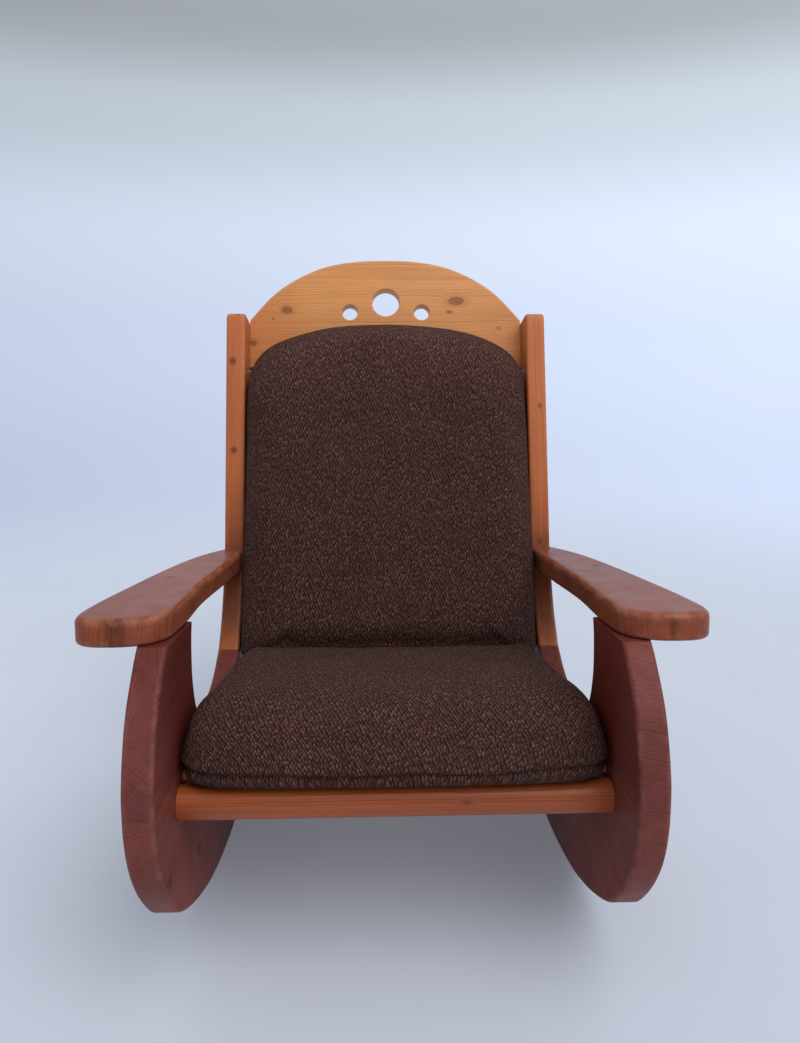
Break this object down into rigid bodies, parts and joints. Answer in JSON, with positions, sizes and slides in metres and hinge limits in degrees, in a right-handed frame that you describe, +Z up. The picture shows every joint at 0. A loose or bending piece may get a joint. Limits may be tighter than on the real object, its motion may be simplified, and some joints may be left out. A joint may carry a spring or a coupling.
{
  "type": "rocking chair",
  "caption": "Low pine rocking chair with solid side panels on curved rockers, paddle armrests, a pierced arched crest rail, a slatted seat and back, and two loose tweed cushions.",
  "frame": {"origin": "centre of the chair's footprint box, on the floor", "axes": "+Z up, the sitter faces -Y, +X is to the right as seen from the front"},
  "size_m": [0.809, 0.984, 1.0117],
  "materials": {
    "panel_wood": "red-brown stained pine, satin varnish",
    "upright_wood": "red-brown stained pine, satin varnish",
    "post_wood": "orange-brown stained pine, satin varnish",
    "arm_wood": "reddish-brown stained pine, worn satin varnish",
    "crest_wood": "honey-coloured pine with knots, satin varnish",
    "rail_wood": "orange-brown stained pine, satin varnish",
    "slat_wood": "light varnished pine",
    "cleat_wood": "plain pine, thin varnish",
    "dowel_wood": "end-grain plug and dowel wood",
    "screw_steel": "zinc-plated steel",
    "cushion_cloth": "coarse dark-brown tweed with lighter flecks"
  },
  "bodies": {
    "chair_frame": {"left_rocker_board": "panel_wood", "left_front_upright": "upright_wood", "left_back_post": "post_wood", "left_armrest": "arm_wood", "left_upright_dowel_front": "dowel_wood", "left_upright_dowel_rear": "dowel_wood", "left_post_dowel_front": "dowel_wood", "left_post_dowel_rear": "dowel_wood", "left_armrest_dowel_front": "dowel_wood", "left_armrest_dowel_rear": "dowel_wood", "left_front_rail_screw": "screw_steel", "left_front_rail_plug": "dowel_wood", "left_rear_rail_screw": "screw_steel", "left_rear_rail_plug": "dowel_wood", "left_crest_upper_screw": "screw_steel", "left_crest_upper_plug": "dowel_wood", "left_crest_lower_screw": "screw_steel", "left_crest_lower_plug": "dowel_wood", "right_rocker_board": "panel_wood", "right_front_upright": "upright_wood", "right_back_post": "post_wood", "right_armrest": "arm_wood", "right_upright_dowel_front": "dowel_wood", "right_upright_dowel_rear": "dowel_wood", "right_post_dowel_front": "dowel_wood", "right_post_dowel_rear": "dowel_wood", "right_armrest_dowel_front": "dowel_wood", "right_armrest_dowel_rear": "dowel_wood", "right_front_rail_screw": "screw_steel", "right_front_rail_plug": "dowel_wood", "right_rear_rail_screw": "screw_steel", "right_rear_rail_plug": "dowel_wood", "right_crest_upper_screw": "screw_steel", "right_crest_upper_plug": "dowel_wood", "right_crest_lower_screw": "screw_steel", "right_crest_lower_plug": "dowel_wood", "front_rail": "rail_wood", "rear_rail": "rail_wood", "crest_rail": "crest_wood", "seat_slat_1": "slat_wood", "seat_slat_2": "slat_wood", "seat_slat_3": "slat_wood", "seat_slat_4": "slat_wood", "seat_slat_5": "slat_wood", "seat_slat_6": "slat_wood", "left_seat_bearer": "cleat_wood", "right_seat_bearer": "cleat_wood", "back_slat_1": "slat_wood", "back_slat_2": "slat_wood", "back_slat_3": "slat_wood", "back_slat_4": "slat_wood", "back_slat_5": "slat_wood", "back_slat_6": "slat_wood", "left_back_cleat": "cleat_wood", "right_back_cleat": "cleat_wood"},
    "seat_pad": {"seat_cushion": "cushion_cloth"},
    "back_pad": {"back_cushion": "cushion_cloth"}
  },
  "joints": [
    {"name": "seat_cushion_out", "type": "slide", "parent": "chair_frame", "child": "seat_pad", "axis": [0, -0.9877, 0.1561], "range_m": [0, 0.3]},
    {"name": "back_cushion_out", "type": "slide", "parent": "chair_frame", "child": "back_pad", "axis": [0, -0.866, 0.5], "range_m": [0, 0.22]}
  ]
}
